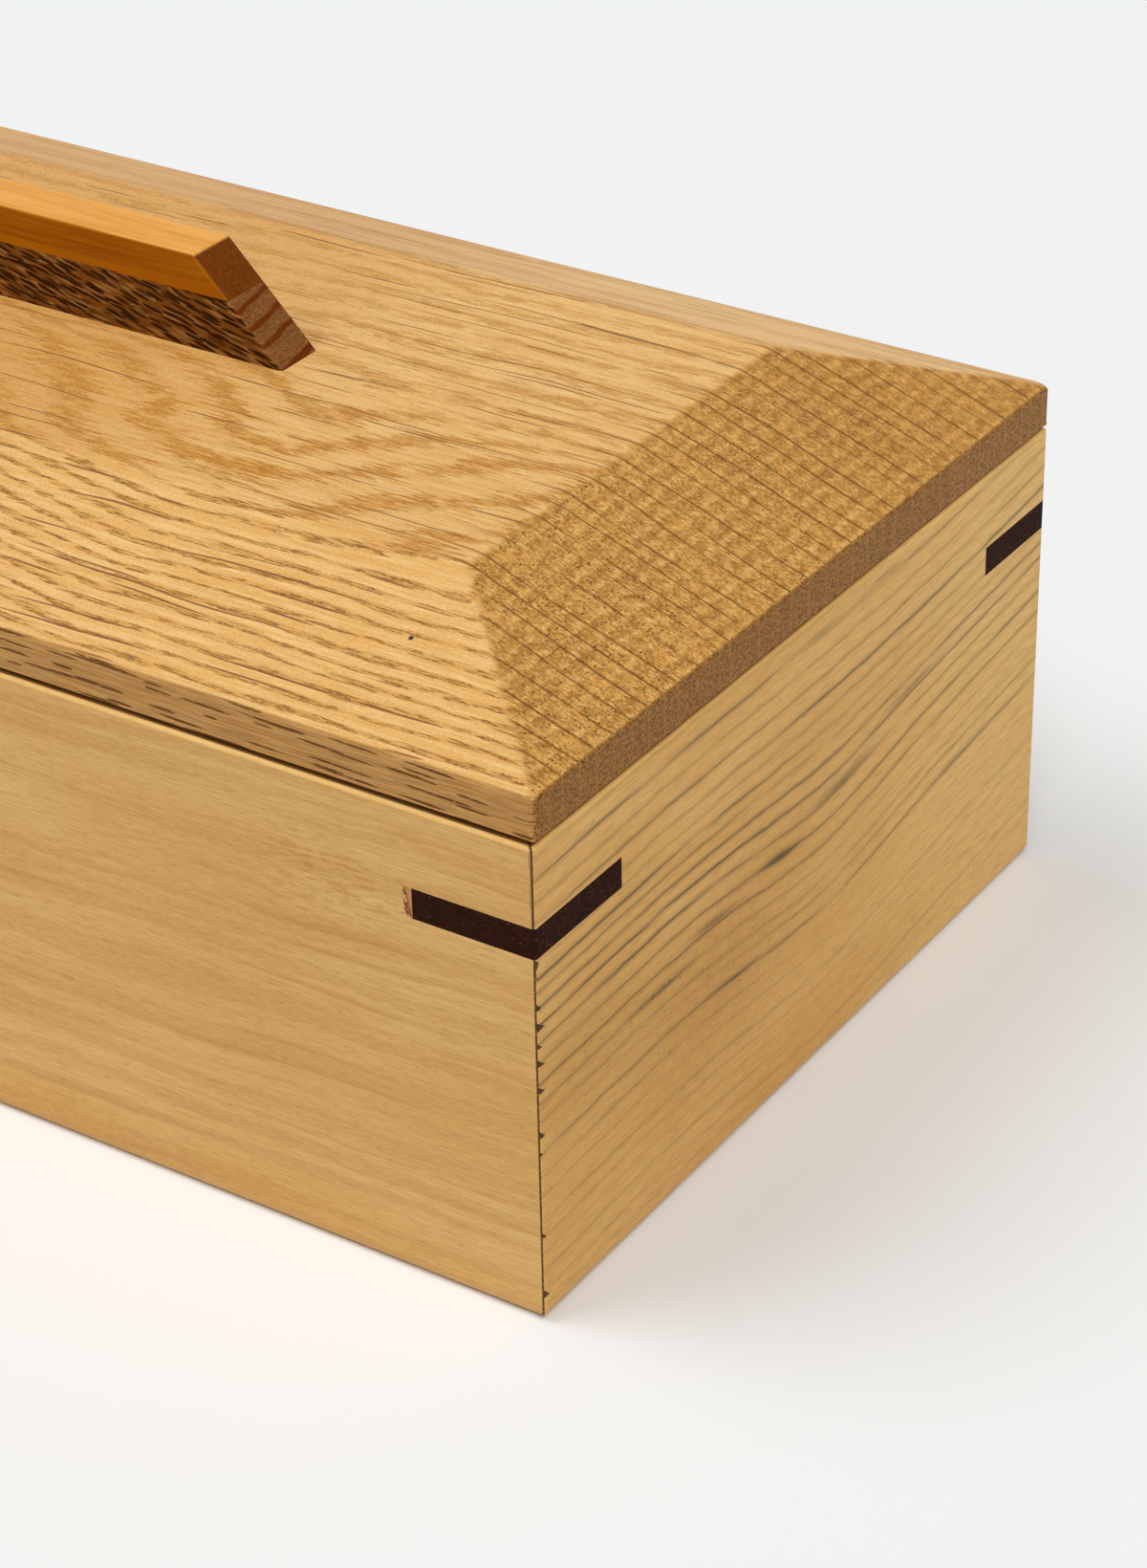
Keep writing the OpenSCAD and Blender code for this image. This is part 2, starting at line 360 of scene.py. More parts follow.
def lid_oak():
    g = Graph("lid_oak_grain")
    x, y, z = g.x, g.y, g.z
    slope = abs(g.ny).rise(0.1, 0.3)
    end = abs(g.nx).rise(0.12, 0.26)
    band_side = abs(g.ny).rise(0.5, 0.9)
    band_end = abs(g.nx).rise(0.5, 0.9)
    hair = g.noise(x / 7, y / 0.26, z / 0.26, detail=1)
    streak = g.noise(x / 18, y / 0.8, z / 0.5, detail=1)
    up = z * BEVEL_STRETCH
    mottle = g.noise(up / 1.6, y / 1.6, 0.0, detail=2, roughness=0.6)
    grit = g.noise(up / 0.5, y / 0.42, 3.3, detail=1)

    colour, dashes = lid_long_grain(g, slope, hair, streak)
    end_colour, dots = lid_end_grain(g, mottle, grit)
    side_colour, side_dashes = lid_side_band(g, hair, streak)
    colour = g.mix(end, colour, end_colour)
    colour = g.mix(band_side, colour, side_colour)
    colour = g.mix(band_end, colour, lid_end_band(g, mottle))

    rays = lid_rays(g, slope, end)
    ray_colour = g.mix(end, LID["ray"], LID["end_ray"])
    ray_colour = g.mix(band_end, ray_colour, LID["edge_ray"])
    colour = g.mix(rays * (1 - band_side) * (0.85 - band_end * 0.4), colour, ray_colour)
    mark = (x - MARK_X).bell(0.0, MARK_SIZE) * (y - MARK_Y).bell(0.0, MARK_SIZE)
    colour = g.mix(mark.rise(0.3, 0.6) * slope, colour, LID["mark"])

    pits = dashes * 0.5 + dots * end * 0.8 + side_dashes * band_side * 0.6
    height = 0.7 - pits - rays * 0.2 + hair * 0.2 + (grit + mottle) * end * 0.3
    return g.finish(colour, 0.45 + pits * 0.2, height, relief=0.1, gloss=0.08)


LID = {
    "straw": screen(231, 177, 100),
    # Also the colour of the painted sheen towards the back of the lid
    "cream": screen(242, 198, 130),
    "honey": screen(208, 148, 70),
    "golden": screen(202, 135, 46),
    "pore": screen(170, 106, 24),
    "pore_dark": screen(92, 54, 10),
    # Colour of the painted glints
    "glint": screen(248, 206, 138),
    "ray": screen(132, 82, 46),
    "end_base": screen(220, 163, 82),
    "end_dark": screen(182, 124, 52),
    "end_row": screen(142, 92, 36),
    "end_fleck": screen(244, 198, 122),
    "end_dot": screen(84, 46, 12),
    "end_ray": screen(100, 58, 20),
    "side": screen(200, 150, 88),
    "side_dark": screen(172, 124, 66),
    "side_dash": screen(92, 52, 12),
    "edge": screen(173, 122, 60),
    "edge_dark": screen(144, 98, 44),
    "edge_ray": screen(184, 134, 66),
    "mark": screen(58, 52, 62),
}


# Growth lines of the end boards: level at the near edge in mm, strength there and far off
END_RINGS = (
    (3.0, 0.14, 0.1), (5.8, 0.2, 0.22), (9.2, 0.26, 0.1), (12.4, 0.1, 0.08),
    (15.2, 0.18, 0.12), (18.0, 0.3, 0.22), (22.6, 0.18, 0.1), (26.0, 0.3, 0.08),
    (29.8, 0.5, 0.55), (33.0, 0.12, 0.4), (35.3, 0.34, 0.3), (38.4, 0.4, 0.18),
    (41.7, 0.6, 0.5), (45.4, 0.62, 0.6), (48.7, 0.85, 0.4), (51.6, 0.9, 0.62),
    (54.4, 0.7, 0.66), (57.0, 0.5, 0.3), (59.2, 0.85, 0.34), (61.8, 0.24, 0.34),
    (64.6, 0.36, 0.72), (68.2, 0.62, 0.42), (71.6, 0.34, 0.3), (75.3, 0.72, 0.5),
    (78.6, 0.2, 0.12),
)
# Dark smudges on them: place along the board, level, length and height in mm, strength
SMUDGES = (
    (-9.0, 45.6, 4.5, 0.9, 0.75), (10.0, 49.4, 9.0, 0.9, 0.5), (-28.0, 42.6, 6.0, 0.7, 0.6),
    (-43.0, 38.6, 7.0, 0.8, 0.4), (31.0, 52.6, 9.0, 0.6, 0.45), (47.0, 30.4, 9.0, 0.6, 0.3),
    (-22.0, 29.9, 7.0, 0.6, 0.35), (22.0, 76.4, 5.0, 0.5, 0.4), (2.0, 76.0, 6.0, 0.5, 0.35),
)
# How far the lines have risen by places spread evenly along the board, as shares of RISE
RISE = 5.6
RISE_SHARES = (0.0, 0.11, 0.2, 0.22, 0.21, 0.22, 0.3, 0.46, 0.72, 1.0)
# How deep they dip behind the middle, at levels spread evenly up the board, as shares of DIP
DIP = 3.6
DIP_SHARES = (0.5, 0.62, 0.75, 0.92, 1.0, 0.97, 0.5, 0.08, 0.0, 0.0)
# The length and the height over which those shares are spread
WALL_SPAN = 150.0
WALL_TALL = 81.0
WALL_HALF_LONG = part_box("front_wall")[1].x / MM
WALL_HALF_DEEP = -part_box("front_wall")[0].y / MM
# The mitres lie where a point's distances from the middle differ by this much, in mm
MITRE_OFFSET = (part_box("front_wall")[1].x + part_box("front_wall")[0].y) / MM


def evenly(shares):
    """Stops for a lookup, all the same distance apart."""
    return [(index / (len(shares) - 1), share) for index, share in enumerate(shares)]


def end_board_lines(g, run):
    """The growth lines of an end board, which rise, dip behind the middle and rise again."""
    z = g.z
    rise = g.lookup(run / WALL_SPAN + 0.5, evenly(RISE_SHARES))
    dip = g.lookup(z / WALL_TALL, evenly(DIP_SHARES)) * run.bell(4, 25)
    wobble = g.noise(run / 9, z / 5, 0.0, detail=2) - 0.5
    level = z - rise * RISE + dip * DIP + wobble * 0.8
    far = run.rise(-34, 4)
    total = None
    for height, near, away in END_RINGS:
        line = level.peak(height, 0.34) * (far * (away - near) + near)
        total = line if total is None else total + line
    worn = g.noise(run / 20, level / 1.1, 0.0, detail=1)
    total = total * (worn.rise(0.26, 0.54) * 0.9 + 0.34)
    for place, height, long, tall, share in SMUDGES:
        total = total + run.bell(place, long) * level.bell(height, tall) * share
    return total


def mitre_marks(g, meeting, reach):
    """A dark glue line where the boards meet and chips torn out beside it.
    meeting is the distance from the mitre, in mm, and reach is how far the chips go."""
    slanted = (g.z + meeting * 0.5) / WALL_TALL
    chips = g.lookup(slanted, [(place / WALL_TALL, share) for place, share in CHIPS])
    ragged = g.noise(meeting / 0.9, g.z / 0.35, 0.0, detail=1)
    torn = (chips * reach - meeting + (ragged - 0.5) * 0.5).rise(0.0, 0.15) * chips.rise(0.05, 0.2)
    seam = meeting.rise(0.3, 0.1) * (ragged.rise(0.2, 0.5) * 0.6 + 0.4)
    return seam.most(torn)


# Chips along the mitre: height in mm and how far each is torn, as a share
CHIPS = (
    (4.4, 0.0), (5.6, 0.9), (5.8, 0.0),
    (15.0, 0.0), (15.9, 0.6), (16.1, 0.0), (29.4, 0.0), (30.2, 0.5), (30.4, 0.0), (32.4, 0.0),
    (33.5, 0.8), (33.7, 0.0), (40.0, 0.0), (41.2, 0.9), (41.4, 0.0), (44.6, 0.0), (45.7, 1.0),
    (45.9, 0.1), (47.6, 0.0), (48.5, 0.7), (48.7, 0.1), (50.6, 0.15), (51.9, 1.0), (52.1, 0.1),
    (54.0, 0.0), (55.0, 0.8), (55.2, 0.0), (60.8, 0.2), (62.4, 0.5), (62.6, 0.0),
)


# Beside the near spline, in mm: a grey smudge (place, length, level, height), and a patch of
# filler whose edges are given as the values between which it comes in
SMUDGE_AT = (115, 14, 64, 8)
PATCH_LEFT, PATCH_RIGHT = (128.2, 128.4), (130.2, 129.9)
PATCH_LOW, PATCH_HIGH = (62.4, 62.6), (67.6, 67.4)
# The level from which filler fills the mitre of the front and the back
FILLER_FROM = (67.2, 67.7)
# How far in from the outside the rim's top lies in the lid's shade
SHADED_RIM = (3.4, 1.8)
# How far the chips reach over an end board at its front corner and over the front board
CHIPS_REACH_END, CHIPS_REACH_FRONT = 2.2, 0.25


def long_board_lines(g, run, deep, hair, colour):
    """Faint bands and growth lines of the front and the back, and a smudge."""
    z = g.z
    tilted = z - run * 0.03 + (g.noise(run / 50, deep / 40, z / 16) - 0.5) * 5
    band = g.noise(run / 140, deep / 20, tilted / 2.6, detail=2, roughness=0.55)
    colour = g.mix(band.rise(0.44, 0.62) * 0.45, colour, WALL["band"])
    line = (tilted / 3.7 + (hair - 0.5) * 0.15).math("FRACT")
    lines = line.rise(0.0, 0.1) * line.rise(0.5, 0.1)
    lines = lines * g.noise(run / 40, deep / 9, z / 5).rise(0.44, 0.72) * 0.35
    place, long, level, tall = SMUDGE_AT
    smudge = run.bell(place, long) * z.bell(level, tall)
    smudge = smudge * g.noise(run / 2.4, deep / 2, tilted / 0.5, detail=2).rise(0.45, 0.7)
    return colour, lines + smudge * 0.5


def end_board_grain(g, run, deep, colour):
    """Growth lines of the two ends, a brown tone towards the front and grit in it, and a painted
    reflection that pales them towards the back.
    """
    z = g.z
    brown = run.bell(-28, 26) * z.bell(33, 14) + run.bell(-62, 14) * z.bell(40, 12) * 0.6
    colour = g.mix(brown * 0.75, colour, WALL["brown"])
    # Painted reflection: paler towards the back, where the floor beside the board is bright
    colour = g.mix(run.rise(-6, 62) * 0.6, colour, WALL["far"])
    grit, _, luck = g.cells(run / 1.5, deep / 1.5, z / 0.9)
    grit = grit.rise(0.32, 0.16) * luck.rise(0.74, 0.8) * (brown + 0.08)
    return colour, end_board_lines(g, run) + grit * 0.35


def fillings(g, run, deep, meeting, colour):
    """Filler in the mitre above the splines, and the chipped patch beside the near one."""
    z = g.z
    ragged = g.noise(run / 1.2, deep, z / 1.1, detail=2)
    strip = (meeting + (ragged - 0.5) * 0.7).rise(0.6, 0.35) * z.rise(*FILLER_FROM)
    colour = g.mix(strip * 0.7, colour, WALL["filler"])
    crumbs = g.noise(run / 0.7, deep, z / 0.8, detail=2)
    patch = (run + (crumbs - 0.5) * 2.4).rise(*PATCH_LEFT) * run.rise(*PATCH_RIGHT)
    patch = patch * (z + (crumbs - 0.5) * 0.8).rise(*PATCH_LOW) * z.rise(*PATCH_HIGH)
    colour = g.mix(patch * 0.9, colour, WALL["patch"])
    chipped = (run + z * 0.2 + (crumbs - 0.5) * 2.0).rise(142.4, 141.8) * patch
    return g.mix(chipped * crumbs.rise(0.4, 0.46) * 0.85, colour, WALL["crumb"])


def wall_wood(name, along, shift=0.0):
    """Pale board whose grain runs along X or Y; shift picks another stretch of the log."""
    g = Graph(name)
    run, deep = (g.x, g.y) if along == "x" else (g.y, g.x)
    run = run + shift
    z = g.z
    hair = g.noise(run / 6, deep / 0.3, z / 0.3, detail=1)
    fibre = g.noise(run / 2.2, deep / 0.3, z / 0.26, detail=1)
    mottle = g.noise(run / 3, deep / 1.2, z / 0.8, detail=2, roughness=0.6)
    cloud = g.noise(run / 45, deep / 30, z / 13, detail=1).rise(0.3, 0.7)

    if along == "x":
        colour = g.mix(cloud, WALL["base"], WALL["warm"])
        colour, lines = long_board_lines(g, run, deep, hair, colour)
        line_colour = WALL["line"]
    else:
        colour = g.mix(cloud, WALL["end_base"], WALL["end_warm"])
        colour, lines = end_board_grain(g, run, deep, colour)
        line_colour = WALL["grey"]
    colour = g.mix(hair.rise(0.36, 0.7) * 0.5, colour, WALL["dark_hair"])
    colour = g.mix(fibre.rise(0.4, 0.75) * 0.4, colour, WALL["pale_hair"])
    tick = g.noise(run / 1.8, deep / 0.3, z / 0.2, detail=1)
    colour = g.mix(tick.rise(0.62, 0.72) * 0.4, colour, WALL["tick"])
    # Painted highlight: the upward-facing rounding of the rim's top edge is painted pale
    rim = g.nz.rise(0.15, 0.5) * g.nz.rise(0.98, 0.85)
    colour = g.mix(rim * 0.5, colour, WALL["rim"])
    # Painted shade: the outer part of the rim's top, under the lid's edge, is painted dark
    inward = (WALL_HALF_LONG - abs(g.x)).math("MINIMUM", WALL_HALF_DEEP - abs(g.y))
    shaded = g.nz.rise(0.86, 0.98) * inward.rise(*SHADED_RIM)
    colour = g.mix(shaded * 0.85, colour, WALL["seat"])
    colour = g.mix(mottle.rise(0.5, 0.75) * 0.25, colour, WALL["warm"])
    colour = g.mix(lines.math("MINIMUM", 0.9), colour, line_colour)

    meeting = abs(g.x) - abs(g.y) - MITRE_OFFSET
    if along == "x":
        meeting = meeting * -1.0
        colour = fillings(g, run, deep, meeting, colour)
        marks = mitre_marks(g, meeting, CHIPS_REACH_FRONT)
    else:
        marks = mitre_marks(g, meeting, g.y.rise(20, -20) * CHIPS_REACH_END)
    colour = g.mix(marks * 0.92, colour, WALL["mitre"])
    height = 0.6 + hair * 0.2 + fibre * 0.15 + mottle * 0.15 - marks * 0.9
    return g.finish(colour, 0.5 + mottle * 0.08, height, relief=0.06, gloss=0.15)


WALL = {
    "base": screen(224, 180, 114),
    "warm": screen(214, 166, 97),
    "end_base": screen(233, 182, 107),
    "end_warm": screen(223, 169, 91),
    "band": screen(193, 143, 76),
    "line": screen(172, 118, 54),
    "dark_hair": screen(192, 140, 72),
    "pale_hair": screen(226, 184, 114),
    "tick": screen(150, 102, 50),
    # Colour of the painted highlight on the rim's rounding
    "rim": screen(250, 208, 128),
    # Colour of the painted shade on the rim's top under the lid
    "seat": screen(112, 78, 40),
    "brown": screen(194, 138, 66),
    # Colour of the painted reflection towards the back of the end boards
    "far": screen(246, 204, 128),
    "grey": screen(94, 74, 42),
    "mitre": screen(62, 28, 6),
    "filler": screen(150, 118, 74),
    "patch": screen(182, 130, 80),
    "crumb": screen(112, 56, 24),
}


# Dark flecked wood of the handle's lower layer: dark and pale dashes that slope down along it
HANDLE_TILT = 0.24
# Orange-brown bands across its ends: level and half thickness in mm
END_BANDS = ((100.4, 0.5), (103.9, 0.36), (106.2, 0.42), (108.6, 0.4))


def handle_dark():
    g = Graph("handle_dark_grain")
    x, y, z = g.x, g.y, g.z
    end = abs(g.nx).rise(0.3, 0.6)
    wave = g.noise(x / 7, y / 7, z / 3) - 0.5
    tilted = z + x * HANDLE_TILT + wave * 1.2
    _, (dx, dz, _), luck = g.cells(x / 3.6 + y / 9, tilted / 0.95)
    dash = (dx * dx * 3.4 + dz * dz * 11).math("SQRT").rise(1.2, 0.8)
    _, (px, pz, _), pale_luck = g.cells(x / 3.8 + y / 6 + 7.7, tilted + 3.3)
    fleck = (px * px * 3.4 + pz * pz * 10).math("SQRT").rise(1.2, 0.7) * pale_luck.rise(0.1, 0.4)
    hair = g.noise(x / 3, y / 0.4, tilted / 0.3, detail=1)
    colour = g.mix(hair.rise(0.35, 0.7) * 0.5, DARK["base"], DARK["warm"])
    colour = g.mix(fleck * 0.7, colour, DARK["fleck"])
    colour = g.mix(dash * (luck.rise(0.0, 0.3) * 0.5 + 0.45), colour, DARK["dash"])
    grit = g.noise(x / 0.5, y / 0.4, z / 0.4, detail=1)
    end_colour = g.mix(grit.rise(0.35, 0.65), DARK["end"], DARK["end_pale"])
    level = z - y * 0.12 + (g.noise(x / 3, y / 4, z / 2) - 0.5) * 0.7
    bands = None
    for height, thick in END_BANDS:
        band = level.bell(height, thick).rise(0.2, 0.75)
        bands = band if bands is None else bands.most(band)
    end_colour = g.mix(bands * 0.9, end_colour, DARK["end_band"])
    colour = g.mix(end, colour, end_colour)
    height = fleck * 0.4 - dash * 0.6 + hair * 0.3 + 0.6
    return g.finish(colour, 0.55, height, relief=0.12, gloss=0.03)


DARK = {
    "base": screen(118, 70, 22),
    "dash": screen(46, 20, 2),
    "fleck": screen(168, 120, 68),
    "warm": screen(134, 84, 32),
    "end": screen(122, 75, 34),
    "end_pale": screen(146, 98, 54),
    "end_band": screen(108, 44, 2),
}


# Orange wood of the handle's upper layer
def handle_orange():
    g = Graph("handle_orange_grain")
    x, y, z = g.x, g.y, g.z
    end = abs(g.nx).rise(0.3, 0.6)
    side = abs(g.ny).rise(0.4, 0.9)
    hair = g.noise(x / 14, y / 0.4, z / 0.35, detail=2)
    broad = g.noise(x / 40, y / 2.6, z / 2.2, detail=1)
    colour = g.mix(hair.rise(0.3, 0.7), ORANGE["top"], ORANGE["top_dark"])
    colour = g.mix(broad.rise(0.4, 0.7) * 0.5, colour, ORANGE["top_pale"])
    flank = g.mix(hair.rise(0.3, 0.7), ORANGE["side"], ORANGE["side_dark"])
    flank = g.mix(broad.rise(0.4, 0.65) * 0.6, flank, ORANGE["side_pale"])
    # The top is paler and the sides darker: partly face and side grain, partly painted sheen on
    # the top and painted shade on the sides
    colour = g.mix(side, colour, flank)
    grit = g.noise((x + z) / 1.6 + y, y / 0.5 + z, z / 0.5, detail=2)
    colour = g.mix(end, colour, g.mix(grit.rise(0.3, 0.7), ORANGE["end"], ORANGE["end_dark"]))
    return g.finish(colour, 0.42, hair, relief=0.04, gloss=0.06)


ORANGE = {
    # Top colours carry a painted sheen and side colours painted shade, besides the grain
    "top": screen(241, 172, 84),
    "top_dark": screen(225, 152, 61),
    "top_pale": screen(250, 188, 98),
    "side": screen(167, 94, 2),
    "side_dark": screen(148, 76, 0),
    "side_pale": screen(180, 106, 6),
    "end": screen(125, 63, 0),
    "end_dark": screen(104, 48, 0),
}


# Dark purple-brown wood of the corner splines
def spline_wood():
    g = Graph("spline_grain")
    x, y, z = g.x, g.y, g.z
    hair = g.noise((x + y) / 5, (x - y) / 1.2, z / 0.3, detail=1)
    grit, _, luck = g.cells(x / 0.6, y / 0.6, z / 0.6)
    grit = grit.rise(0.26, 0.12)
    colour = g.mix(hair.rise(0.3, 0.7), SPLINE["base"], SPLINE["dark"])
    colour = g.mix(grit * luck.rise(0.86, 0.9) * 0.7, colour, SPLINE["pale"])
    colour = g.mix(grit * luck.rise(0.3, 0.2) * 0.7, colour, SPLINE["pit"])
    return g.finish(colour, 0.6, hair - grit * 0.3, relief=0.05, gloss=0.03)


SPLINE = {
    "base": screen(52, 24, 12),
    "dark": screen(36, 15, 7),
    "pale": screen(140, 84, 54),
    "pit": screen(20, 9, 6),
}


# Pale face veneer of the thin bottom panel
def panel_veneer():
    g = Graph("panel_veneer_grain")
    x, y, z = g.x, g.y, g.z
    arch = g.noise(x / 90, y / 16, z / 30, detail=1)
    ring = (arch * 9 + y / 22).math("FRACT")
    late = ring.rise(0.0, 0.5) * ring.rise(1.0, 0.8)
    hair = g.noise(x / 8, y / 0.3, z / 0.3, detail=1)
    colour = g.mix(late * 0.5, PANEL["base"], PANEL["late"])
    colour = g.mix(hair.rise(0.4, 0.7) * 0.4, colour, PANEL["hair"])
    return g.finish(colour, 0.55, hair, relief=0.05, gloss=0.3)


PANEL = {
    "base": screen(232, 200, 152),
    "late": screen(212, 172, 120),
    "hair": screen(204, 162, 110),
}


# Turned brass of the handle's screws
def screw_brass():
    g = Graph("screw_brass_turned")
    scratch = g.noise(g.x / 0.2, g.y / 0.2, g.z / 0.1, detail=2)
    g.bsdf.inputs["Metallic"].default_value = 1.0
    colour = g.mix(scratch.rise(0.3, 0.7), screen(214, 178, 96), screen(186, 146, 66))
    return g.finish(colour, 0.28 + scratch * 0.15, scratch, relief=0.01, gloss=0.5)


def dress(piece, material):
    """Gives the piece this one material."""
    piece.data.materials.clear()
    piece.data.materials.append(material)


# Own meshes, made from the sizes of the CAD pieces, with sanded arrises
NEAR = 0.01 * MM
SCREWS = ("handle_screw_left", "handle_screw_right")
SCREW_PLAY = 0.15 * MM
SCREW_SIDES = 48
LID_EASED = 1.4 * MM
HANDLE_EASED = 0.7 * MM
EASE_STEPS = 5
# The share of LID_EASED by which each row of the lid's edges is eased, from the lowest
LIP_SHARE = 0.6
SEAT_SHARE = 0.15
UPRIGHT_SHARE = 0.9
BAND_SHARE = 0.5
RIDGE_SHARE = 1.0


def rectangle(mesh, half_x, half_y, level):
    corners = ((-1, -1), (1, -1), (1, 1), (-1, 1))
    return [mesh.verts.new((sx * half_x, sy * half_y, level)) for sx, sy in corners]


def prism(levels):
    """A closed form through rectangles given as (half x, half y, level), from the lowest."""
    mesh = bmesh.new()
    rows = [rectangle(mesh, *level) for level in levels]
    for low, high in zip(rows, rows[1:]):
        for index in range(4):
            following = (index + 1) % 4
            mesh.faces.new((low[index], low[following], high[following], high[index]))
    mesh.faces.new(rows[0][::-1])
    mesh.faces.new(rows[-1])
    return mesh


def spread(points):
    """How far the points reach from the middle, along X and along Y."""
    return max(abs(p.x) for p in points), max(abs(p.y) for p in points)


def points_at(node, level):
    """The corners of a CAD piece that lie at this level."""
    return [v.co for v in nodes[node].data.vertices if abs(v.co.z - level) < NEAR]


def screw_cutter(screw, gap):
    """The room of a countersunk screw, turned about its own axis."""
    low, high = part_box(screw)
    head = (high.x - low.x) / 2
    shank = head / 2
    middle = (low.x + high.x) / 2
    mesh = bmesh.new()
    profile = (
        (head + gap, low.z - MM),
        (head + gap, low.z),
        (shank + gap, low.z + head - shank),
        (shank + gap, high.z),
    )
    turns = [2 * math.pi * side / SCREW_SIDES for side in range(SCREW_SIDES)]
    rings = []
    for radius, level in profile:
        rings.append([
            mesh.verts.new((middle + radius * math.cos(a), radius * math.sin(a), level))
            for a in turns
        ])
    for lower, upper in zip(rings, rings[1:]):
        for side in range(SCREW_SIDES):
            following = (side + 1) % SCREW_SIDES
            mesh.faces.new((lower[side], lower[following], upper[following], upper[side]))
    mesh.faces.new(rings[0][::-1])
    mesh.faces.new(rings[-1])
    return add_object("cutter_" + screw, mesh)


def add_object(name, mesh):
    """Makes an object of a mesh under construction and puts it in the scene."""
    bmesh.ops.recalc_face_normals(mesh, faces=mesh.faces)
    data = bpy.data.meshes.new(name)
    mesh.to_mesh(data)
    mesh.free()
    piece = bpy.data.objects.new(name, data)
    bpy.context.scene.collection.objects.link(piece)
    return piece


def cut(piece, cutters):
    """Takes the cutters' forms out of the piece, and the cutters out of the scene."""
    for cutter in cutters:
        hole = piece.modifiers.new(cutter.name, "BOOLEAN")
        hole.operation = "DIFFERENCE"
        hole.solver = "EXACT"
        hole.object = cutter
    graph = bpy.context.evaluated_depsgraph_get()
    solid = bpy.data.meshes.new_from_object(piece.evaluated_get(graph))
    piece.modifiers.clear()
    piece.data = solid
    for cutter in cutters:
        bpy.data.objects.remove(cutter)


def ease(piece, width, share):
    """Rounds edges over width; share gives each edge's part of it from its two ends."""
    data = piece.data
    weights = data.attributes.new("bevel_weight_edge", "FLOAT", "EDGE")
    for edge in data.edges:
        ends = [data.vertices[index].co for index in edge.vertices]
        weight = share(*ends)
        weights.data[edge.index].value = weight
        edge.use_edge_sharp = weight == 0
    for polygon in data.polygons:
        polygon.use_smooth = True
    bevel = piece.modifiers.new("eased_edges", "BEVEL")
    bevel.limit_method = "WEIGHT"
    bevel.width = width
    bevel.segments = EASE_STEPS
    bevel.harden_normals = True
    bevel.use_clamp_overlap = True


def place_on(piece, body, node, material):
    """Dresses the piece and lets it stand in for a CAD node, on that node's body."""
    dress(piece, material)
    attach(piece, body)
    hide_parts(node)


def make_lid():
    """The lid's board: lip, rebate, upright band, four bevels and a flat top."""
    low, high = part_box("lid_panel")
    tops = points_at("lid_panel", high.z)
    lip = points_at("lid_panel", low.z)
    wide = [v.co.z for v in nodes["lid_panel"].data.vertices if v.co.x > high.x - 0.1 * MM]
    seat, band = min(wide), max(wide)
    mesh = prism([
        (*spread(lip), low.z),
        (*spread(lip), seat),
        (high.x, high.y, seat),
        (high.x, high.y, band),
        (*spread(tops), high.z),
    ])
    piece = add_object("lid_board", mesh)
    cut(piece, [screw_cutter(screw, SCREW_PLAY) for screw in SCREWS])
    _, lip_y = spread(lip)

    def share(a, b):
        level = (a.z + b.z) / 2
        outward = min(abs(a.y), abs(b.y))
        if outward < lip_y / 2:
            return 0.0
        if level < seat - NEAR:
            return LIP_SHARE
        if level < seat + NEAR:
            return SEAT_SHARE if outward > high.y - NEAR else 0.0
        if level < band - NEAR:
            return UPRIGHT_SHARE
        if level < band + NEAR:
            return BAND_SHARE
        return RIDGE_SHARE
    ease(piece, LID_EASED, share)
    place_on(piece, "lid", "lid_panel", materials["lid"])


def make_handle_layer(name, node, material, top_eased):
    """One layer of the handle: its edges are eased, but not at the glue line or on the lid."""
    low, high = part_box(node)
    top_x, top_y = spread(points_at(node, high.z))
    low_x, low_y = spread(points_at(node, low.z))
    piece = add_object(name, prism([(low_x, low_y, low.z), (top_x, top_y, high.z)]))

    def share(a, b):
        level = abs(a.z - b.z) < NEAR
        if not level:
            return 1.0
        return 1.0 if top_eased and a.z > high.z - NEAR else 0.0
    ease(piece, HANDLE_EASED, share)
    place_on(piece, "lid", node, material)


materials = {
    "lid": lid_oak(),
    "front": wall_wood("wall_front_grain", "x"),
    "back": wall_wood("wall_back_grain", "x", 430.0),
    "right": wall_wood("wall_right_grain", "y"),
    "left": wall_wood("wall_left_grain", "y", -9.0),
    "spline": spline_wood(),
    "dark": handle_dark(),
    "orange": handle_orange(),
    "brass": screw_brass(),
    "panel": panel_veneer(),
}
# The CAD pieces that show as they are, and the material of each
WEARS = {
    "front_wall": "front",
    "back_wall": "back",
    "right_end_wall": "right",
    "left_end_wall": "left",
    "bottom_panel": "panel",
}
for node, piece in nodes.items():
    if node.startswith("spline"):
        dress(piece, materials["spline"])
    elif node in SCREWS:
        dress(piece, materials["brass"])
    elif node in WEARS:
        dress(piece, materials[WEARS[node]])
make_lid()
make_handle_layer(
    "handle_lower_layer", "handle_base", materials["dark"], False
)
make_handle_layer(
    "handle_upper_layer", "handle_cap", materials["orange"], True
)


# Floor, light and camera
FLOOR_REACH = 14.0
FLOOR_SIDES = 96
LAMP_REACH = 4.0
# Each lamp's name, heading, height, width across and level, as make_light takes them
LAMPS = (
    ("window", 210, 58, 40, 0.324),
    ("softbox", 318, 54, 42, 0.401),
)
WORLD_LEVEL = 0.23
# The pale tone that shows behind the floor, and its strength
SEEN_TONE = screen(244, 244, 244)
SEEN_LEVEL = 1.0
WHITE = (1, 1, 1, 1)


def make_floor():
    mesh = bmesh.new()
    bmesh.ops.create_circle(mesh, cap_ends=True, segments=FLOOR_SIDES, radius=FLOOR_REACH)
    floor = add_object("floor", mesh)
    g = Graph("floor_paper")
    tone = g.noise(g.x / 500, g.y / 500, 0.0)
    colour = g.mix(tone, screen(247, 249, 249), screen(244, 246, 247))
    dress(floor, g.finish(colour, 0.9, tone, relief=0.01, gloss=0.1))


